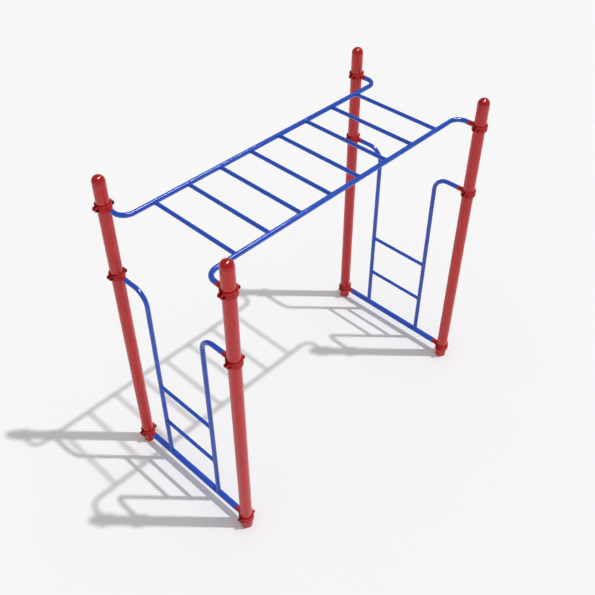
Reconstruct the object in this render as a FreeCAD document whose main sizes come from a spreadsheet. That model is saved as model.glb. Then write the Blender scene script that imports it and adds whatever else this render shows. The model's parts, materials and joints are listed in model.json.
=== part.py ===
import FreeCAD, Part
import math
import os
import Sketcher
from FreeCAD import Placement, Rotation, Vector

# Playground monkey bars: four round posts carry an overhead ladder and two access ladders.
#
# Frame: millimetres, +Z up, origin on the ground midway between the four posts.
# +X runs along the overhead ladder, from the near end to the far end.
# +Y runs across it, from the right side to the left side.
#
# Every blue tube ends on the neck of a cast clamp. A clamp is two halves that two bolts
# pull together around a post: the inner half has the neck, the outer half is plain.

DIMENSIONS = {
    # posts
    "post_spacing_long": 2438.4,
    "post_spacing_cross": 1164,
    "overall_height": 2569,
    "post_diameter": 88.9,
    "post_wall": 3,
    # domed post caps
    "cap_skirt": 6,
    "cap_spigot_length": 45,
    "cap_spigot_wall": 3.25,
    "cap_clearance": 0.2,
    "cap_rim_chamfer": 1.2,
    "cap_rivet_drop": 22,
    # heights of the clamps and of the tubes that they hold
    "overhead_height": 2342,
    "shoulder_height": 1776,
    "bottom_height": 99,
    # clamps
    "clamp_ring_height": 44,
    "clamp_ring_wall": 12,
    "clamp_gap": 16,
    "clamp_rim_recess_width": 3,
    "clamp_rim_recess_depth": 8,
    "clamp_edge_radius": 4,
    "lug_bolt_offset": 58,
    "lug_radius": 16,
    "lug_depth": 20,
    "lug_edge_radius": 5,
    "neck_reach": 95,
    "neck_diameter": 37,
    "bottom_neck_diameter": 44,
    "spigot_length": 21,
    "spigot_clearance": 0.2,
    # clamp bolts and nuts, size M10
    "bolt_diameter": 10,
    "bolt_hole_diameter": 10.6,
    "bolt_recess_diameter": 20.6,
    "bolt_recess_depth": 7.5,
    "bolt_head_diameter": 17.5,
    "bolt_head_height": 5.5,
    "bolt_crown_radius": 2.75,
    "bolt_socket_width": 6,
    "bolt_socket_depth": 3.2,
    "nut_width": 17,
    "nut_height": 8.4,
    # blind rivets
    "rivet_diameter": 6.4,
    "rivet_hole_diameter": 6.6,
    "rivet_head_diameter": 12,
    "rivet_head_height": 2.4,
    "rivet_crown_radius": 1.9,
    "rivet_length": 12,
    "tube_rivet_inset": 11,
    # overhead ladder
    "rail_offset": 382,
    "rail_diameter": 35,
    "rail_wall": 2.6,
    "rail_bend_radius": 85,
    "overhead_rung_diameter": 28.6,
    "overhead_rung_wall": 2.6,
    "overhead_rung_spacing": 278,
    # access ladders
    "upright_offset": 277,
    "upright_bend_radius": 115,
    "access_rung_diameter": 28.6,
    "access_rung_wall": 2.6,
    "lower_rung_height": 478,
    "upper_rung_height": 867,
    "bottom_rail_diameter": 48.3,
    "bottom_rail_wall": 4,
}

OVERHEAD_RUNGS = 8
ENDS = {"near": -1, "far": 1}
SIDES = {"right": -1, "left": 1}
LEVELS = {"top": "overhead_height", "middle": "shoulder_height", "bottom": "bottom_height"}
SAME_PLACE = 0.01  # millimetres; points closer than this count as one
LEAST_CUT = 1  # cubic millimetres; a pocket that removes less has missed the solid

# Formulas that several pieces share.
POST_RADIUS = "Dimensions.post_diameter / 2"
POST_INSIDE = "(Dimensions.post_diameter / 2 - Dimensions.post_wall)"
POST_TOP = "(Dimensions.overall_height - Dimensions.post_diameter / 2 - Dimensions.cap_skirt)"
RING_RADIUS = "(Dimensions.post_diameter / 2 + Dimensions.clamp_ring_wall)"
HALF_GAP = "(Dimensions.clamp_gap / 2)"
TUBE_START = "(Dimensions.post_spacing_cross / 2 - Dimensions.neck_reach)"
BOLT_SEAT = "(Dimensions.lug_depth - Dimensions.bolt_recess_depth)"

doc = FreeCAD.newDocument("monkey_bars")
sheet = doc.addObject("Spreadsheet::Sheet", "Dimensions")
pieces = []


def fill_sheet():
    """Write the driving dimensions into the spreadsheet, one named cell each."""
    for row, (alias, value) in enumerate(DIMENSIONS.items(), start=1):
        sheet.set(f"A{row}", alias)
        sheet.set(f"B{row}", str(value))
        sheet.setAlias(f"B{row}", alias)
    doc.recompute()


def value(formula):
    """Work out a formula's number."""
    return float(sheet.evalExpression(formula))


def start_body(label):
    """Start a sub-part: a body whose label names its file."""
    body = doc.addObject("PartDesign::Body", label)
    body.Label = label
    pieces.append(body)
    return body


def place(piece, along, across, height, turn=0):
    """Stand a piece in the frame, turned about the vertical by whole degrees."""
    piece.Placement = Placement(Vector(0, 0, 0), Rotation(Vector(0, 0, 1), turn))
    piece.setExpression(".Placement.Base.x", along)
    piece.setExpression(".Placement.Base.y", across)
    piece.setExpression(".Placement.Base.z", height)


def add_sketch(body, name, role, offset=None):
    """Attach a sketch to one of the body's own origin planes, moved along its normal."""
    sketch = body.newObject("Sketcher::SketchObject", name)
    plane = next(item for item in body.Origin.OriginFeatures if item.Role == role)
    sketch.AttachmentSupport = [(plane, "")]
    sketch.MapMode = "FlatFace"
    if offset:
        sketch.setExpression(".AttachmentOffset.Base.z", offset)
    return sketch


def bind(sketch, constraint, formula):
    """Add a dimension to a sketch and tie it to a formula."""
    index = sketch.addConstraint(constraint)
    sketch.setExpression(f"Constraints[{index}]", formula)


def pin_point(sketch, geometry, point, across, up):
    """Hold a sketch point at two formulas; a missing one leaves that direction free."""
    if across:
        bind(sketch, Sketcher.Constraint("DistanceX", -1, 1, geometry, point, value(across)), across)
    if up:
        bind(sketch, Sketcher.Constraint("DistanceY", -1, 1, geometry, point, value(up)), up)


def draw_circle(sketch, radius, across=None, up=None):
    """Draw a circle on the sketch's origin, or at the place that two formulas give."""
    centre = Vector(value(across or "0"), value(up or "0"), 0)
    circle = sketch.addGeometry(Part.Circle(centre, Vector(0, 0, 1), value(radius)))
    bind(sketch, Sketcher.Constraint("Radius", circle, value(radius)), radius)
    if across or up:
        pin_point(sketch, circle, 3, across or "0", up or "0")
    else:
        sketch.addConstraint(Sketcher.Constraint("Coincident", circle, 3, -1, 1))


def draw_outline(sketch, corners, centre_of_arc=None):
    """Draw a closed outline through corner formulas; a corner may start an arc instead of a line.

    centre_of_arc maps a corner's number to the formulas of the centre that the next edge turns
    about, anticlockwise where its start comes first, as (across, up, anticlockwise).
    """
    arcs = centre_of_arc or {}
    spots = [Vector(value(across), value(up), 0) for across, up in corners]
    for number, start in enumerate(spots):
        following = (number + 1) % len(spots)
        end = spots[following]
        if number in arcs:
            across, up, anticlockwise = arcs[number]
            centre = Vector(value(across), value(up), 0)
            angles = [math.atan2(spot.y - centre.y, spot.x - centre.x) for spot in (start, end)]
            if not anticlockwise:
                angles.reverse()
            circle = Part.Circle(centre, Vector(0, 0, 1), (start - centre).Length)
            edge = sketch.addGeometry(Part.ArcOfCircle(circle, *angles))
            first, last = (1, 2) if anticlockwise else (2, 1)
            chord_is_level = abs(end.x - start.x) > abs(end.y - start.y)
            pin_point(sketch, edge, 3, None if chord_is_level else across,
                      up if chord_is_level else None)
            pin_point(sketch, edge, first, *corners[number])
        else:
            edge = sketch.addGeometry(Part.LineSegment(start, end))
            first, last = 1, 2
            pin_point(sketch, edge, first, *corners[number])
        if number:
            sketch.addConstraint(Sketcher.Constraint("Coincident", edge, first, previous, tail))
        previous, tail = edge, last
    sketch.addConstraint(Sketcher.Constraint("Coincident", previous, tail, 0, 1))


def draw_route(sketch, corners, bend):
    """Draw an open path of upright and level runs, each inner corner rounded to one radius."""
    radius = value(bend)
    spots = [Vector(value(across), value(up), 0) for across, up in corners]
    runs = []
    for number in range(len(spots) - 1):
        direction = (spots[number + 1] - spots[number]).normalize()
        start = spots[number] + direction * (radius if number else 0)
        end = spots[number + 1] - direction * (radius if number < len(spots) - 2 else 0)
        line = sketch.addGeometry(Part.LineSegment(start, end))
        upright = abs(direction.x) < abs(direction.y)
        sketch.addConstraint(Sketcher.Constraint("Vertical" if upright else "Horizontal", line))
        across, up = corners[number]
        pin_point(sketch, line, 1, across if upright else None, None if upright else up)
        if number == 0:
            pin_point(sketch, line, 1, None if upright else across, up if upright else None)
        if number == len(spots) - 2:
            across, up = corners[-1]
            pin_point(sketch, line, 2, None if upright else across, up if upright else None)
        runs.append((line, start, end, direction))
    for (line, _, entry, before), (next_line, leave, _, after) in zip(runs, runs[1:]):
        centre = entry + after * radius
        left_turn = before.x * after.y - before.y * after.x > 0
        ends = [entry, leave] if left_turn else [leave, entry]
        angles = [math.atan2(spot.y - centre.y, spot.x - centre.x) for spot in ends]
        circle = Part.Circle(centre, Vector(0, 0, 1), radius)
        arc = sketch.addGeometry(Part.ArcOfCircle(circle, *angles))
        first, last = (1, 2) if left_turn else (2, 1)
        sketch.addConstraint(Sketcher.Constraint("Tangent", line, 2, arc, first))
        sketch.addConstraint(Sketcher.Constraint("Tangent", arc, last, next_line, 1))
        bind(sketch, Sketcher.Constraint("Radius", arc, radius), bend)


def pad(body, name, sketch, length, symmetric=False):
    """Raise a sketch into a solid along its normal, or equally to both sides."""
    feature = body.newObject("PartDesign::Pad", name)
    feature.Profile = sketch
    feature.SideType = "Symmetric" if symmetric else "One side"
    feature.setExpression("Length", length)
    return feature


def pocket(body, name, sketch, depth=None, reversed_cut=False):
    """Cut a sketch out of the solid, right through or to a depth from its plane."""
    before = body.Tip
    feature = body.newObject("PartDesign::Pocket", name)
    feature.Profile = sketch
    feature.Reversed = reversed_cut
    if depth:
        feature.setExpression("Length", depth)
    else:
        feature.Type = "ThroughAll"
        feature.SideType = "Symmetric"
    doc.recompute()
    if feature.Shape.Volume > before.Shape.Volume - LEAST_CUT:
        raise RuntimeError(f"{body.Label}: {name} cuts nothing")
    return feature


def round_edges(body, name, radius, wanted):
    """Round the edges of the body's last feature that a test picks."""
    base = body.Tip
    doc.recompute()
    names = [f"Edge{n}" for n, edge in enumerate(base.Shape.Edges, start=1) if wanted(edge)]
    feature = body.newObject("PartDesign::Fillet", name)
    feature.Base = (base, names)
    feature.setExpression("Radius", radius)
    return feature


def make_tube(label, diameter, wall, length):
    """Make a straight tube along Y, centred on its own origin."""
    body = start_body(label)
    section = add_sketch(body, f"{label}_section", "XZ_Plane")
    draw_circle(section, f"{diameter} / 2")
    draw_circle(section, f"{diameter} / 2 - {wall}")
    pad(body, f"{label}_tube", section, length, symmetric=True)
    return body


def make_bent_tube(label, diameter, wall, corners, bend, route_plane):
    """Sweep a round tube from its own origin along a path of runs and bends."""
    body = start_body(label)
    route = add_sketch(body, f"{label}_route", route_plane)
    draw_route(route, corners, bend)
    section = add_sketch(body, f"{label}_section", "XZ_Plane")
    draw_circle(section, f"{diameter} / 2")
    draw_circle(section, f"{diameter} / 2 - {wall}")
    pipe = body.newObject("PartDesign::AdditivePipe", f"{label}_pipe")
    pipe.Profile = section
    pipe.Spine = route
    return body


def drill_rivet_holes(body, places):
    """Drill the rivet holes through the underside of a tube that runs along Y at its ends."""
    holes = add_sketch(body, f"{body.Label}_rivet_spots", "XY_Plane")
    for across, up in places:
        draw_circle(holes, "Dimensions.rivet_hole_diameter / 2", across, up)
    pocket(body, f"{body.Label}_rivet_holes", holes, depth="Dimensions.bottom_rail_diameter")


def make_post(label, along, across):
    """A post is a round tube with two rivet holes for its cap near the top."""
    body = start_body(label)
    section = add_sketch(body, f"{label}_section", "XY_Plane")
    draw_circle(section, POST_RADIUS)
    draw_circle(section, POST_INSIDE)
    pad(body, f"{label}_tube", section, POST_TOP)
    spot = add_sketch(body, f"{label}_rivet_spot", "YZ_Plane")
    draw_circle(spot, "Dimensions.rivet_hole_diameter / 2", "0",
                f"{POST_TOP} - Dimensions.cap_rivet_drop")
    pocket(body, f"{label}_rivet_holes", spot)
    place(body, along, across, "0")


def make_cap(label, along, across):
    """A cap is a hollow dome with a short skirt, flush with the post, and a spigot inside it."""
    body = start_body(label)
    outside = POST_RADIUS
    spigot = f"{POST_INSIDE} - Dimensions.cap_clearance"
    inside = f"{spigot} - Dimensions.cap_spigot_wall"
    skirt = "Dimensions.cap_skirt"
    chamfer = "Dimensions.cap_rim_chamfer"
    corners = [
        (f"{outside} - {chamfer}", "0"),
        (outside, chamfer),
        (outside, skirt),
        ("0", f"{skirt} + {outside}"),
        ("0", f"{skirt} + {inside}"),
        (inside, skirt),
        (inside, "-Dimensions.cap_spigot_length"),
        (spigot, "-Dimensions.cap_spigot_length"),
        (spigot, "0"),
    ]
    profile = add_sketch(body, f"{label}_profile", "XZ_Plane")
    draw_outline(profile, corners, {2: ("0", skirt, True), 4: ("0", skirt, False)})
    dome = body.newObject("PartDesign::Revolution", f"{label}_dome")
    dome.Profile = profile
    dome.ReferenceAxis = (profile, ["V_Axis"])
    dome.Angle = 360
    spot = add_sketch(body, f"{label}_rivet_spot", "YZ_Plane")
    draw_circle(spot, "Dimensions.rivet_hole_diameter / 2", "0", "-Dimensions.cap_rivet_drop")
    pocket(body, f"{label}_rivet_holes", spot)
    place(body, along, across, POST_TOP)


def lies_on_lug_face(edge):
    """Pick the rounded outline of a lug's outer face, away from the ring."""
    depth = value("Dimensions.lug_depth")
    return all(abs(abs(vertex.Y) - depth) < SAME_PLACE for vertex in edge.Vertexes) and (
        abs(edge.CenterOfMass.x) > value(RING_RADIUS) - value("Dimensions.clamp_ring_wall"))


def is_ring_rim(edge):
    """Pick the outer rims of the half ring, at its top and bottom."""
    return edge.Curve.TypeId == "Part::GeomCircle" and (
        abs(edge.Curve.Radius - value(RING_RADIUS)) < SAME_PLACE)


def draw_lugs(sketch):
    """Draw the bar that joins the two lugs, with a round end about each bolt."""
    reach = "Dimensions.lug_bolt_offset"
    radius = "Dimensions.lug_radius"
    corners = [
        (f"-{reach}", f"-{radius}"),
        (reach, f"-{radius}"),
        (reach, radius),
        (f"-{reach}", radius),
    ]
    draw_outline(sketch, corners, {1: (reach, "0", True), 3: (f"-{reach}", "0", True)})


def make_clamp_half(label, neck=None, spigot=None):
    """Half a clamp, on the -Y side of the post; the neck and its spigot point to -Y.

    The sketches on the XZ plane face -Y, so a pad on one grows away from the split.
    """
    body = start_body(label)
    ring = add_sketch(body, f"{label}_ring_outline", "XY_Plane")
    edge_of_half = f"sqrt({RING_RADIUS}^2 - {HALF_GAP}^2)"
    corners = [(f"-{edge_of_half}", f"-{HALF_GAP}"), (edge_of_half, f"-{HALF_GAP}")]
    draw_outline(ring, corners, {0: ("0", "0", True)})
    pad(body, f"{label}_ring", ring, "Dimensions.clamp_ring_height", symmetric=True)
    round_edges(body, f"{label}_ring_rims", "Dimensions.clamp_edge_radius", is_ring_rim)

    lugs = add_sketch(body, f"{label}_lug_outline", "XZ_Plane", HALF_GAP)
    draw_lugs(lugs)
    pad(body, f"{label}_lugs", lugs, f"Dimensions.lug_depth - {HALF_GAP}")
    round_edges(body, f"{label}_lug_rims", "Dimensions.lug_edge_radius", lies_on_lug_face)

    if neck:
        round_neck = add_sketch(body, f"{label}_neck_section", "XZ_Plane", HALF_GAP)
        draw_circle(round_neck, neck)
        pad(body, f"{label}_neck", round_neck, f"Dimensions.neck_reach - {HALF_GAP}")
        plug = add_sketch(body, f"{label}_spigot_section", "XZ_Plane", HALF_GAP)
        draw_circle(plug, spigot)
        plug_end = "Dimensions.neck_reach + Dimensions.spigot_length"
        pad(body, f"{label}_spigot", plug, f"{plug_end} - {HALF_GAP}")
        spot = add_sketch(body, f"{label}_rivet_spot", "XY_Plane")
        draw_circle(spot, "Dimensions.rivet_hole_diameter / 2", "0",
                    "-Dimensions.neck_reach - Dimensions.tube_rivet_inset")
        pocket(body, f"{label}_rivet_hole", spot, depth="Dimensions.bottom_rail_diameter")

    bore = add_sketch(body, f"{label}_bore_section", "XY_Plane")
    draw_circle(bore, POST_RADIUS)
    pocket(body, f"{label}_bore", bore)
    for name, height, flip in (("upper", "Dimensions.clamp_ring_height / 2", False),
                               ("lower", "-Dimensions.clamp_ring_height / 2", True)):
        rim = add_sketch(body, f"{label}_{name}_rim", "XY_Plane", height)
        draw_circle(rim, f"{POST_RADIUS} + Dimensions.clamp_rim_recess_width")
        pocket(body, f"{label}_{name}_recess", rim, "Dimensions.clamp_rim_recess_depth", flip)

    for name, diameter, start in (("bolt_holes", "Dimensions.bolt_hole_diameter", None),
                                  ("bolt_recesses", "Dimensions.bolt_recess_diameter", BOLT_SEAT)):
        holes = add_sketch(body, f"{label}_{name}_spots", "XZ_Plane", start)
        for sign in ("-", ""):
            draw_circle(holes, f"{diameter} / 2", f"{sign}Dimensions.lug_bolt_offset", "0")
        wrench_room = "Dimensions.lug_depth" if start else None
        pocket(body, f"{label}_{name}", holes, wrench_room, reversed_cut=bool(start))
    return body


def make_clamp(post, level, along, across, turn):
    """One clamp at one height: the inner half with its neck, then the plain outer half."""
    neck, tube = ("bottom_neck", "bottom_rail") if level == "bottom" else ("neck", "rail")
    spigot = (f"Dimensions.{tube}_diameter / 2 - Dimensions.{tube}_wall"
              " - Dimensions.spigot_clearance")
    height = f"Dimensions.{LEVELS[level]}"
    neck_radius = f"Dimensions.{neck}_diameter / 2"
    inner = make_clamp_half(f"clamp_{level}_{post}_inner", neck_radius, spigot)
    place(inner, along, across, height, turn)
    outer = make_clamp_half(f"clamp_{level}_{post}_outer")
    place(outer, along, across, height, turn + 180)


def make_side_rail(label, turn):
    """A side rail of the overhead ladder: straight, with both ends bent out to the clamps."""
    inward = f"({TUBE_START} - Dimensions.rail_offset)"
    corners = [
        ("0", "0"),
        ("0", inward),
        ("Dimensions.post_spacing_long", inward),
        ("Dimensions.post_spacing_long", "0"),
    ]
    body = make_bent_tube(label, "Dimensions.rail_diameter", "Dimensions.rail_wall", corners,
                          "Dimensions.rail_bend_radius", "XY_Plane")
    inset = "Dimensions.tube_rivet_inset"
    drill_rivet_holes(body, [("0", inset), ("Dimensions.post_spacing_long", inset)])
    sign = "" if turn else "-"
    half_length = f"{sign}Dimensions.post_spacing_long / 2"
    place(body, half_length, f"{sign}{TUBE_START}", "Dimensions.overhead_height", turn)


def make_upright(label, along, turn):
    """An upright of an access ladder: in from its clamp, then down onto the bottom rail."""
    inward = f"({TUBE_START} - Dimensions.upright_offset)"
    drop = "(Dimensions.shoulder_height - Dimensions.bottom_height)"
    corners = [("0", "0"), (inward, "0"), (inward, f"-{drop}")]
    body = make_bent_tube(label, "Dimensions.rail_diameter", "Dimensions.rail_wall", corners,
                          "Dimensions.upright_bend_radius", "YZ_Plane")
    saddle = add_sketch(body, f"{label}_saddle_section", "XZ_Plane")
    draw_circle(saddle, "Dimensions.bottom_rail_diameter / 2", "0", f"-{drop}")
    pocket(body, f"{label}_saddle", saddle)
    drill_rivet_holes(body, [("0", "Dimensions.tube_rivet_inset")])
    sign = "" if turn else "-"
    place(body, along, f"{sign}{TUBE_START}", "Dimensions.shoulder_height", turn)


def make_rung(label, diameter, wall, offset, saddle_plane, along, height):
    """A rung between two side tubes, its ends cut to the saddle shape that fits round them."""
    body = make_tube(label, diameter, wall, f"2 * {offset}")
    saddles = add_sketch(body, f"{label}_saddle_section", saddle_plane)
    for sign in ("-", ""):
        spot = f"{sign}{offset}"
        across, up = (spot, "0") if saddle_plane == "YZ_Plane" else ("0", spot)
        draw_circle(saddles, "Dimensions.rail_diameter / 2", across, up)
    pocket(body, f"{label}_saddles", saddles)
    place(body, along, "0", height)


def make_overhead_rungs():
    """Eight rungs at even spacing along the overhead ladder."""
    for number in range(1, OVERHEAD_RUNGS + 1):
        steps = number - (OVERHEAD_RUNGS + 1) / 2
        make_rung(f"overhead_rung_{number}", "Dimensions.overhead_rung_diameter",
                  "Dimensions.overhead_rung_wall", "Dimensions.rail_offset", "YZ_Plane",
                  f"{steps} * Dimensions.overhead_rung_spacing", "Dimensions.overhead_height")


def make_access_ladder(end, along):
    """An access ladder: two uprights, two rungs and a thicker rail near the ground."""
    make_upright(f"upright_{end}_right", along, 0)
    make_upright(f"upright_{end}_left", along, 180)
    for name in ("lower", "upper"):
        make_rung(f"access_rung_{end}_{name}", "Dimensions.access_rung_diameter",
                  "Dimensions.access_rung_wall", "Dimensions.upright_offset", "XY_Plane",
                  along, f"Dimensions.{name}_rung_height")
    rail = make_tube(f"bottom_rail_{end}", "Dimensions.bottom_rail_diameter",
                     "Dimensions.bottom_rail_wall", f"2 * {TUBE_START}")
    inset = f"({TUBE_START} - Dimensions.tube_rivet_inset)"
    drill_rivet_holes(rail, [("0", inset), ("0", f"-{inset}")])
    place(rail, along, "0", "Dimensions.bottom_height")


def make_pattern_piece(name):
    """Start a body that the fastener groups repeat; it is not a sub-part itself."""
    return doc.addObject("PartDesign::Body", name)


def make_bolt():
    """A button-head socket bolt: its head seats on the origin, its shank points to -Y."""
    body = make_pattern_piece("pattern_bolt")
    shank = add_sketch(body, "bolt_shank_section", "XZ_Plane")
    draw_circle(shank, "Dimensions.bolt_diameter / 2")
    pad(body, "bolt_shank", shank, f"2 * {BOLT_SEAT} + Dimensions.nut_height")
    head = add_sketch(body, "bolt_head_section", "XZ_Plane")
    draw_circle(head, "Dimensions.bolt_head_diameter / 2")
    pad(body, "bolt_head", head, "Dimensions.bolt_head_height").Reversed = True
    top = value("Dimensions.bolt_head_height")
    round_edges(body, "bolt_head_crown", "Dimensions.bolt_crown_radius",
                lambda edge: abs(edge.CenterOfMass.y - top) < SAME_PLACE)
    socket = add_sketch(body, "bolt_socket_outline", "XZ_Plane", "-Dimensions.bolt_head_height")
    draw_hexagon(socket, "Dimensions.bolt_socket_width")
    pocket(body, "bolt_socket", socket, "Dimensions.bolt_socket_depth", reversed_cut=True)
    return body


def draw_hexagon(sketch, width):
    """Draw a hexagon about the origin from its width across flats, two flats upright."""
    flat = f"{width} / 2"
    tip = f"{width} / sqrt(3)"
    corners = [(flat, f"-{tip} / 2"), (flat, f"{tip} / 2"), ("0", tip),
               (f"-{flat}", f"{tip} / 2"), (f"-{flat}", f"-{tip} / 2"), ("0", f"-{tip}")]
    draw_outline(sketch, corners)


def make_nut():
    """A hexagon nut that seats on the origin and stands to -Y."""
    body = make_pattern_piece("pattern_nut")
    outline = add_sketch(body, "nut_outline", "XZ_Plane")
    draw_hexagon(outline, "Dimensions.nut_width")
    draw_circle(outline, "Dimensions.bolt_diameter / 2")
    pad(body, "nut_block", outline, "Dimensions.nut_height")
    return body


def make_rivet():
    """A round-head rivet: its head seats on the origin and stands to -Z, its shank to +Z."""
    body = make_pattern_piece("pattern_rivet")
    shank = add_sketch(body, "rivet_shank_section", "XY_Plane")
    draw_circle(shank, "Dimensions.rivet_diameter / 2")
    pad(body, "rivet_shank", shank, "Dimensions.rivet_length")
    head = add_sketch(body, "rivet_head_section", "XY_Plane")
    draw_circle(head, "Dimensions.rivet_head_diameter / 2")
    pad(body, "rivet_head", head, "Dimensions.rivet_head_height").Reversed = True
    face = -value("Dimensions.rivet_head_height")
    round_edges(body, "rivet_head_crown", "Dimensions.rivet_crown_radius",
                lambda edge: abs(edge.CenterOfMass.z - face) < SAME_PLACE)
    return body


def make_group(label, pattern, spots):
    """Repeat one fastener as separate solids in one piece; a spot is a place and a rotation."""
    copies = []
    for number, (along, across, height, rotation) in enumerate(spots, start=1):
        copy = doc.addObject("App::Link", f"{label}_{number}")
        copy.LinkedObject = pattern
        copy.LinkTransform = False
        copy.Placement = Placement(Vector(0, 0, 0), rotation)
        copy.setExpression(".Placement.Base.x", along)
        copy.setExpression(".Placement.Base.y", across)
        copy.setExpression(".Placement.Base.z", height)
        copies.append(copy)
    group = doc.addObject("Part::Compound", label)
    group.Label = label
    group.Links = copies
    pieces.append(group)


def bolt_spots(along, across, side):
    """Where one post's bolts seat: two in each clamp, heads on the outer half."""
    turn = Rotation(Vector(0, 0, 1), 0 if side > 0 else 180)
    for level in LEVELS.values():
        for sign in ("-", "+"):
            yield (f"{along} {sign} Dimensions.lug_bolt_offset",
                   f"{across} + {side} * {BOLT_SEAT}", f"Dimensions.{level}", turn)


def nut_spots(along, across, side):
    """Where one post's nuts seat: opposite the bolt heads, on the inner half."""
    for place_along, _, height, turn in bolt_spots(along, across, side):
        yield place_along, f"{across} - {side} * {BOLT_SEAT}", height, turn


def cap_rivet_spots():
    """Where the cap rivets seat: one on each end-facing side of every post."""
    for end in ENDS.values():
        for side in SIDES.values():
            for face in (-1, 1):
                tilt = Rotation(Vector(0, 0, 1), Vector(-face, 0, 0))
                yield (f"{end} * Dimensions.post_spacing_long / 2 + {face} * {POST_RADIUS}",
                       f"{side} * Dimensions.post_spacing_cross / 2",
                       f"{POST_TOP} - Dimensions.cap_rivet_drop", tilt)


def tube_rivet_spots():
    """Where the tube rivets seat: under every tube end, where it covers its clamp's spigot."""
    upward = Rotation(Vector(0, 0, 1), 0)
    for level, height in LEVELS.items():
        tube = "bottom_rail_diameter" if level == "bottom" else "rail_diameter"
        for end in ENDS.values():
            for side in SIDES.values():
                yield (f"{end} * Dimensions.post_spacing_long / 2",
                       f"{side} * ({TUBE_START} - Dimensions.tube_rivet_inset)",
                       f"Dimensions.{height} - Dimensions.{tube} / 2", upward)


def build():
    """Make every sub-part."""
    bolt, nut, rivet = make_bolt(), make_nut(), make_rivet()
    for end, end_sign in ENDS.items():
        along = f"{end_sign} * Dimensions.post_spacing_long / 2"
        for side, side_sign in SIDES.items():
            post = f"{end}_{side}"
            across = f"{side_sign} * Dimensions.post_spacing_cross / 2"
            make_post(f"post_{post}", along, across)
            make_cap(f"post_cap_{post}", along, across)
            for level in LEVELS:
                make_clamp(post, level, along, across, 0 if side_sign > 0 else 180)
            make_group(f"clamp_bolts_{post}", bolt, bolt_spots(along, across, side_sign))
        make_access_ladder(end, along)
    make_side_rail("side_rail_right", 0)
    make_side_rail("side_rail_left", 180)
    make_overhead_rungs()
    all_nuts = []
    for end_sign in ENDS.values():
        for side_sign in SIDES.values():
            all_nuts += nut_spots(f"{end_sign} * Dimensions.post_spacing_long / 2",
                                  f"{side_sign} * Dimensions.post_spacing_cross / 2", side_sign)
    make_group("clamp_nuts", nut, all_nuts)
    make_group("cap_rivets", rivet, cap_rivet_spots())
    make_group("tube_rivets", rivet, tube_rivet_spots())


def check_and_write():
    """Recompute, refuse anything that failed, and write one STEP file for each sub-part."""
    doc.recompute()
    for item in doc.Objects:
        if "Invalid" in item.State or "Error" in item.State:
            raise RuntimeError(f"{item.Label} failed: {item.State}")
    for piece in pieces:
        if piece.Shape.isNull() or not piece.Shape.isValid():
            raise RuntimeError(f"{piece.Label} has no valid shape")
    os.makedirs("parts", exist_ok=True)
    for piece in pieces:
        piece.Shape.exportStep(f"parts/{piece.Label}.step")


fill_sheet()
build()
check_and_write()
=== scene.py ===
import json
import math

import bmesh
import bpy
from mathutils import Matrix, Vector


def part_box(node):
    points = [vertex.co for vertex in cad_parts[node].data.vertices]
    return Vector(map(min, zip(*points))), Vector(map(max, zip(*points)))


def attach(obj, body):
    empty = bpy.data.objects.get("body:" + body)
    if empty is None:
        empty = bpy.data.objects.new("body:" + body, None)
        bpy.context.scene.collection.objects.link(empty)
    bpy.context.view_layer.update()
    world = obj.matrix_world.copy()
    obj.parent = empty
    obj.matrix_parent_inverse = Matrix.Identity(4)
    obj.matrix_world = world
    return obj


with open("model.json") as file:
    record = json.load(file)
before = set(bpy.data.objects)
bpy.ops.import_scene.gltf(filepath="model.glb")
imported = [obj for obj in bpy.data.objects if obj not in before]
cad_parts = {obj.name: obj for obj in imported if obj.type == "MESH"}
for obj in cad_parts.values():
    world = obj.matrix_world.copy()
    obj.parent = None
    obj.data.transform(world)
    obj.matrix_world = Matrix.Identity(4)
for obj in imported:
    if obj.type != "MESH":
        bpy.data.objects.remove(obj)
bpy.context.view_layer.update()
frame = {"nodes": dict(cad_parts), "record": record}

# Monkey bars in a plain white studio. Metres, +Z up, the CAD frame: +X runs along the overhead
# ladder from the near end to the far end, +Y across it from the right side to the left side.

ENDS = ("near", "far")
SIDES = (("right", -1), ("left", 1))
ACCESS_RUNG_LEVELS = ("lower", "upper")
OVERHEAD_RUNGS = range(1, 9)

# Colours are linear red, green and blue.
RED_COAT = (0.52, 0.012, 0.013)
# Painted shade: the caps' red is darker than the posts' red. It stands in for shade on their
# upward-facing domes.
RED_CAP_WITH_PAINTED_SHADE = (0.40, 0.010, 0.012)
# Partly painted shade: the clamps' red is darker than the posts'. It is partly their own cast
# coat and partly shade painted onto their necks and recesses.
RED_CASTING_WITH_PAINTED_SHADE = (0.42, 0.011, 0.013)
BLUE_COAT = (0.010, 0.070, 0.48)
# Partly painted shade: the fasteners' near-black is partly their own dark steel and partly the
# shade of their recesses.
DARK_STEEL_WITH_PAINTED_SHADE = (0.018, 0.017, 0.018)
FLOOR_WHITE = (0.90, 0.90, 0.90)
DUST = (0.36, 0.33, 0.30)

# Powder paint: patterns in features per metre, and how far each one changes shade or roughness.
MOTTLING_SCALE = 5.0
MOTTLING_SHADES = (0.94, 1.06)
HANDLING_SCALE = 24.0
HANDLING_SPREAD = (0.85, 1.2)
SHEEN_ROUGHNESS = 0.38
GRIT_TO_PEEL_SCALE = 4.0

# Dust on the paint: how high it reaches in metres, its pattern, and how much it hides and dulls.
DUST_TOP = 0.16
DUST_SCALE = 38.0
DUST_MOST = 0.12
DUST_ROUGHNESS = 0.9

# Dark fastener steel, partly painted shade: patterns in features per metre, and the grain's
# height in metres.
STAIN_SCALE = 160.0
STAIN_SHADES = (0.7, 1.4)
PLATING_SCALE = 420.0
PLATING_ROUGHNESS = (0.28, 0.46)
GRAIN_SCALE = 900.0
GRAIN_HEIGHT = 0.00006

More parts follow.
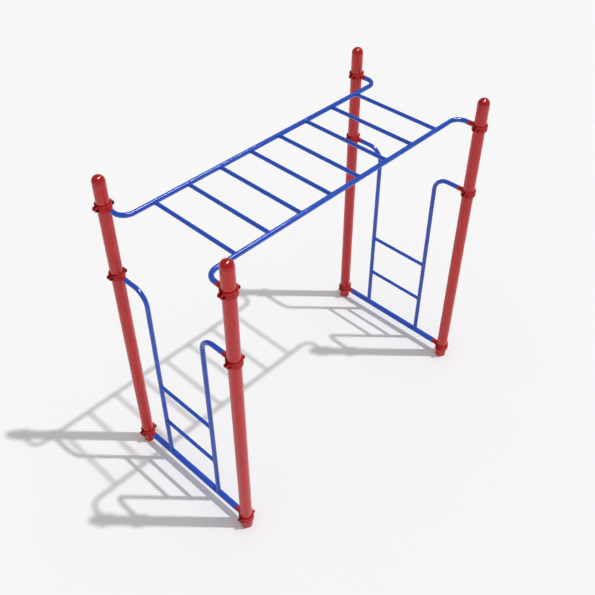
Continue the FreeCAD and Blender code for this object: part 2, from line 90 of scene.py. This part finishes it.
# Camera: where it looks, from which side and how far away, its lens and sensor in millimetres,
# and how far it sees in metres.
CAMERA_AIM = Vector((-0.086, -0.023, 1.194))
CAMERA_AZIMUTH = math.radians(-46.24)
CAMERA_ELEVATION = math.radians(42.41)
CAMERA_DISTANCE = 6.072
CAMERA_LENS = 48.17
SENSOR_WIDTH = 36.0
CAMERA_REACH = 300.0

# Light: a sun-like key, a soft sky all round, and a long oval light high overhead that lights
# nothing and shows only as a thin bright line or spot in glossy surfaces.
KEY_DIRECTION = Vector((0.280, -0.305, 0.91))
KEY_STRENGTH = 1.76
KEY_ANGLE = math.radians(1.3)
SKY_BRIGHTNESS = 0.53
SKY_IN_REFLECTIONS = 0.20
BACKDROP_BRIGHTNESS = 0.93
STRIP_CENTRE = Vector((3.5, -2.4, 20.0))
STRIP_SIZE = (19.0, 4.5)
STRIP_TURN = math.radians(15.0)
STRIP_RADIANCE = 32.0

# Studio floor: how far it reaches each way from the middle, in metres.
FLOOR_REACH = 60.0

# Weld beads: sizes in metres, then the counts of faces that shape them.
BEAD_RADIUS = 0.0031
BEAD_RIPPLE = 0.0005
BEAD_RIPPLE_LENGTH = 0.0036
BEAD_SIDES = 8
STEPS_PER_RIPPLE = 4


class Nodes:
    """A short way to write a shader's nodes and their links."""

    def __init__(self, tree):
        self.tree = tree
        self.tree.nodes.clear()

    def add(self, kind, inputs=None, **settings):
        """Add a node. An input is a plain value, or another node's output socket."""
        node = self.tree.nodes.new(kind)
        for name, setting in settings.items():
            setattr(node, name, setting)
        for name, given in (inputs or {}).items():
            if isinstance(given, bpy.types.NodeSocket):
                self.tree.links.new(given, node.inputs[name])
            else:
                node.inputs[name].default_value = given
        return node

    def noise(self, position, scale, detail=2.0, roughness=0.5):
        """Smooth noise from 0 to 1; scale is in features per metre."""
        inputs = {"Vector": position, "Scale": scale, "Detail": detail, "Roughness": roughness}
        return self.add("ShaderNodeTexNoise", inputs).outputs["Fac"]

    def remap(self, value, low, high, new_low, new_high):
        """Stretch a range of values to another one, held at its ends."""
        inputs = {"Value": value, "From Min": low, "From Max": high,
                  "To Min": new_low, "To Max": new_high}
        return self.add("ShaderNodeMapRange", inputs).outputs["Result"]

    def math(self, operation, first, second):
        """Combine two values."""
        return self.add("ShaderNodeMath", {0: first, 1: second}, operation=operation).outputs[0]

    def mix_colour(self, share, first, second):
        """Blend two colours."""
        node = self.add("ShaderNodeMix", data_type="RGBA")
        for socket, given in ((0, share), (6, first), (7, second)):
            if isinstance(given, bpy.types.NodeSocket):
                self.tree.links.new(given, node.inputs[socket])
            else:
                node.inputs[socket].default_value = given
        return node.outputs[2]

    def bump(self, height, distance, below=None):
        """Turn a height into a surface relief, in metres, on top of a coarser one."""
        inputs = {"Height": height, "Distance": distance, "Strength": 1.0}
        if below:
            inputs["Normal"] = below
        return self.add("ShaderNodeBump", inputs).outputs["Normal"]


def with_alpha(colour, shade=1.0):
    """A colour made lighter or darker, as the four numbers that a socket takes."""
    return (*(channel * shade for channel in colour), 1.0)


def powder_coat(name, colour, roughness, peel_scale, peel_height, grit_height=0.0, specular=0.5,
                sheen=0.0):
    """Baked powder paint: orange-peel relief, slight mottling, and dust near the ground."""
    material = bpy.data.materials.new(name)
    material.use_nodes = True
    nodes = Nodes(material.node_tree)
    position = nodes.add("ShaderNodeTexCoord").outputs["Object"]

    darker, lighter = MOTTLING_SHADES
    mottling = nodes.remap(nodes.noise(position, MOTTLING_SCALE, detail=3.0), 0.3, 0.7, 0.0, 1.0)
    paint = nodes.mix_colour(mottling, with_alpha(colour, darker), with_alpha(colour, lighter))
    height = nodes.add("ShaderNodeSeparateXYZ", {"Vector": position}).outputs["Z"]
    low_down = nodes.remap(height, 0.0, DUST_TOP, 1.0, 0.0)
    speckle = nodes.noise(position, DUST_SCALE, detail=6.0, roughness=0.65)
    patchy = nodes.remap(speckle, 0.42, 0.72, 0.0, DUST_MOST)
    dusty = nodes.math("MULTIPLY", low_down, patchy)
    paint = nodes.mix_colour(dusty, paint, with_alpha(DUST))

    smoothest, roughest = (roughness * spread for spread in HANDLING_SPREAD)
    handled = nodes.noise(position, HANDLING_SCALE, detail=4.0, roughness=0.6)
    uneven = nodes.remap(handled, 0.25, 0.75, smoothest, roughest)
    uneven = nodes.math("ADD", uneven, nodes.math("MULTIPLY", dusty, DUST_ROUGHNESS))

    relief = nodes.bump(nodes.noise(position, peel_scale, detail=1.5), peel_height)
    if grit_height:
        grit = nodes.noise(position, peel_scale * GRIT_TO_PEEL_SCALE, detail=3.0, roughness=0.7)
        relief = nodes.bump(grit, grit_height, relief)
    shader = nodes.add("ShaderNodeBsdfPrincipled", {
        "Base Color": paint, "Roughness": uneven, "Normal": relief,
        "Specular IOR Level": specular, "Coat Weight": sheen, "Coat Roughness": SHEEN_ROUGHNESS})
    nodes.add("ShaderNodeOutputMaterial", {"Surface": shader.outputs[0]})
    return material


def dark_steel(name):
    """Fasteners: near-black satin metal, partly their own dark steel and partly painted shade for
    their recesses, with a fine grain and slight staining.
    """
    material = bpy.data.materials.new(name)
    material.use_nodes = True
    nodes = Nodes(material.node_tree)
    position = nodes.add("ShaderNodeTexCoord").outputs["Object"]
    darker, lighter = STAIN_SHADES
    stain = nodes.noise(position, STAIN_SCALE, detail=4.0)
    plating = nodes.mix_colour(stain, with_alpha(DARK_STEEL_WITH_PAINTED_SHADE, darker),
                               with_alpha(DARK_STEEL_WITH_PAINTED_SHADE, lighter))
    uneven = nodes.remap(nodes.noise(position, PLATING_SCALE), 0.3, 0.7, *PLATING_ROUGHNESS)
    relief = nodes.bump(nodes.noise(position, GRAIN_SCALE), GRAIN_HEIGHT)
    shader = nodes.add("ShaderNodeBsdfPrincipled", {
        "Base Color": plating, "Roughness": uneven, "Normal": relief, "Metallic": 1.0})
    nodes.add("ShaderNodeOutputMaterial", {"Surface": shader.outputs[0]})
    return material


def floor_white(name):
    """The studio floor: matt white."""
    material = bpy.data.materials.new(name)
    material.use_nodes = True
    nodes = Nodes(material.node_tree)
    shader = nodes.add("ShaderNodeBsdfDiffuse", {"Color": with_alpha(FLOOR_WHITE)})
    nodes.add("ShaderNodeOutputMaterial", {"Surface": shader.outputs[0]})
    return material


def make_materials():
    """One material for each of the record's slots."""
    return {
        "red_post_coat": powder_coat(
            "red_post_coat", RED_COAT, roughness=0.22, peel_scale=150.0, peel_height=0.000020),
        # The cap red carries painted shade on the domes.
        "red_cap_coat": powder_coat(
            "red_cap_coat", RED_CAP_WITH_PAINTED_SHADE, roughness=0.08, peel_scale=120.0, peel_height=0.000006),
        # The clamp red is partly painted shade on the necks and recesses.
        "red_clamp_coat": powder_coat(
            "red_clamp_coat", RED_CASTING_WITH_PAINTED_SHADE, roughness=0.42, peel_scale=260.0, peel_height=0.00005,
            grit_height=0.00002, specular=0.20),
        "blue_tube_coat": powder_coat(
            "blue_tube_coat", BLUE_COAT, roughness=0.08, peel_scale=160.0, peel_height=0.000004,
            sheen=0.15),
        # The fastener steel's near-black is partly painted shade for the recesses.
        "dark_bolt_steel": dark_steel("dark_bolt_steel"),
    }


def paint_frame(materials):
    """Give every CAD node the detailed material of its own slot."""
    slots = {row["node"]: row["material_slot"] for row in frame["record"]["subparts"]}
    for name, node in frame["nodes"].items():
        node.data.materials.clear()
        node.data.materials.append(materials[slots[name]])


def add_weld(name, joint, branch, main, branch_radius, main_radius, material):
    """A rippled bead where a branch tube's end meets the side of a main tube.

    joint is the point where their axes cross; branch points from it along the branch tube, and
    main along the main tube. The bead follows the curve where the two round surfaces meet.
    """
    across = branch.cross(main)
    ripples = round(2 * math.pi * branch_radius / BEAD_RIPPLE_LENGTH)
    steps = ripples * STEPS_PER_RIPPLE
    rings = []
    mesh = bmesh.new()
    for step in range(steps):
        turn = 2 * math.pi * step / steps
        outward = main * math.cos(turn) + across * math.sin(turn)
        reach = math.sqrt(main_radius ** 2 - (branch_radius * math.sin(turn)) ** 2)
        centre = joint + outward * branch_radius + branch * reach
        swell = BEAD_RADIUS + BEAD_RIPPLE * math.sin(turn * ripples)
        ring = []
        for side in range(BEAD_SIDES):
            angle = 2 * math.pi * side / BEAD_SIDES
            ring.append(mesh.verts.new(
                centre + (outward * math.cos(angle) + branch * math.sin(angle)) * swell))
        rings.append(ring)
    for ring, following in zip(rings, rings[1:] + rings[:1]):
        for side in range(BEAD_SIDES):
            after = (side + 1) % BEAD_SIDES
            mesh.faces.new((ring[side], following[side], following[after], ring[after]))
    bmesh.ops.recalc_face_normals(mesh, faces=mesh.faces)
    data = bpy.data.meshes.new(name)
    mesh.to_mesh(data)
    mesh.free()
    data.shade_smooth()
    data.materials.append(material)
    bead = bpy.data.objects.new(name, data)
    bpy.context.scene.collection.objects.link(bead)
    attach(bead, "root")


def weld_rungs(material):
    """Beads at both ends of every rung, and where each upright stands on its bottom rail."""
    along, across, up = Vector((1, 0, 0)), Vector((0, 1, 0)), Vector((0, 0, 1))
    rail_low, rail_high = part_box("side_rail_left")
    rail_radius = (rail_high.z - rail_low.z) / 2
    rail_offset = rail_low.y + rail_radius
    for number in OVERHEAD_RUNGS:
        rung = f"overhead_rung_{number}"
        low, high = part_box(rung)
        for side, sign in SIDES:
            joint = Vector(((low.x + high.x) / 2, sign * rail_offset, (low.z + high.z) / 2))
            add_weld(f"weld_{rung}_{side}", joint, -sign * across, along,
                     (high.x - low.x) / 2, rail_radius, material)
    for end in ENDS:
        upright_low, upright_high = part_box(f"upright_{end}_left")
        upright_radius = (upright_high.x - upright_low.x) / 2
        upright_offset = upright_low.y + upright_radius
        for level in ACCESS_RUNG_LEVELS:
            rung = f"access_rung_{end}_{level}"
            low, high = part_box(rung)
            for side, sign in SIDES:
                joint = Vector(((low.x + high.x) / 2, sign * upright_offset,
                                (low.z + high.z) / 2))
                add_weld(f"weld_{rung}_{side}", joint, -sign * across, up,
                         (high.x - low.x) / 2, upright_radius, material)
        low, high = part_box(f"bottom_rail_{end}")
        for side, sign in SIDES:
            joint = Vector(((low.x + high.x) / 2, sign * upright_offset, (low.z + high.z) / 2))
            add_weld(f"weld_upright_{end}_{side}", joint, up, across,
                     upright_radius, (high.z - low.z) / 2, material)


def make_floor():
    """A wide white floor under the posts."""
    mesh = bpy.data.meshes.new("studio_floor")
    corners = [(-FLOOR_REACH, -FLOOR_REACH, 0), (FLOOR_REACH, -FLOOR_REACH, 0),
               (FLOOR_REACH, FLOOR_REACH, 0), (-FLOOR_REACH, FLOOR_REACH, 0)]
    mesh.from_pydata(corners, [], [(0, 1, 2, 3)])
    mesh.materials.append(floor_white("studio_floor_white"))
    floor = bpy.data.objects.new("studio_floor", mesh)
    bpy.context.scene.collection.objects.link(floor)


def light_scene():
    """A key light with fairly crisp shadows, a long light seen only in gloss, and an even sky."""
    key_data = bpy.data.lights.new("key_light", "SUN")
    key_data.energy = KEY_STRENGTH
    key_data.angle = KEY_ANGLE
    key = bpy.data.objects.new("key_light", key_data)
    key.rotation_mode = "QUATERNION"
    key.rotation_quaternion = KEY_DIRECTION.to_track_quat("Z", "Y")
    key.visible_glossy = False
    bpy.context.scene.collection.objects.link(key)

    strip_data = bpy.data.lights.new("strip_light", "AREA")
    strip_data.shape = "ELLIPSE"
    strip_data.size, strip_data.size_y = STRIP_SIZE
    strip_area = math.pi / 4 * STRIP_SIZE[0] * STRIP_SIZE[1]
    strip_data.energy = STRIP_RADIANCE * math.pi * strip_area
    strip = bpy.data.objects.new("strip_light", strip_data)
    strip.location = STRIP_CENTRE
    strip.rotation_euler.z = STRIP_TURN
    strip.visible_diffuse = False
    strip.visible_camera = False
    bpy.context.scene.collection.objects.link(strip)

    world = bpy.data.worlds.new("studio_sky")
    world.use_nodes = True
    bpy.context.scene.world = world
    nodes = Nodes(world.node_tree)
    path = nodes.add("ShaderNodeLightPath")
    brightness = nodes.remap(path.outputs["Is Glossy Ray"], 0.0, 1.0, SKY_BRIGHTNESS,
                             SKY_IN_REFLECTIONS)
    seen = path.outputs["Is Camera Ray"]
    behind = nodes.math("MULTIPLY", seen, BACKDROP_BRIGHTNESS)
    around = nodes.math("MULTIPLY", nodes.math("SUBTRACT", 1.0, seen), brightness)
    sky = nodes.add("ShaderNodeBackground",
                    {"Color": (1, 1, 1, 1), "Strength": nodes.math("ADD", behind, around)})
    nodes.add("ShaderNodeOutputWorld", {"Surface": sky.outputs[0]})


def place_camera():
    """Look down on the near right post, as from a raised platform."""
    data = bpy.data.cameras.new("camera")
    data.lens = CAMERA_LENS
    data.sensor_width = SENSOR_WIDTH
    data.clip_end = CAMERA_REACH
    camera = bpy.data.objects.new("camera", data)
    level = math.cos(CAMERA_ELEVATION)
    back = Vector((math.sin(CAMERA_AZIMUTH) * level, -math.cos(CAMERA_AZIMUTH) * level,
                   math.sin(CAMERA_ELEVATION)))
    camera.location = CAMERA_AIM + back * CAMERA_DISTANCE
    camera.rotation_mode = "QUATERNION"
    camera.rotation_quaternion = back.to_track_quat("Z", "Y")
    bpy.context.scene.collection.objects.link(camera)
    bpy.context.scene.camera = camera


def show_plain_colours():
    """Show the light as it is, with no film look."""
    settings = bpy.context.scene.view_settings
    settings.view_transform = "Standard"
    settings.look = "None"


materials = make_materials()
paint_frame(materials)
weld_rungs(materials["blue_tube_coat"])
make_floor()
light_scene()
place_camera()
show_plain_colours()
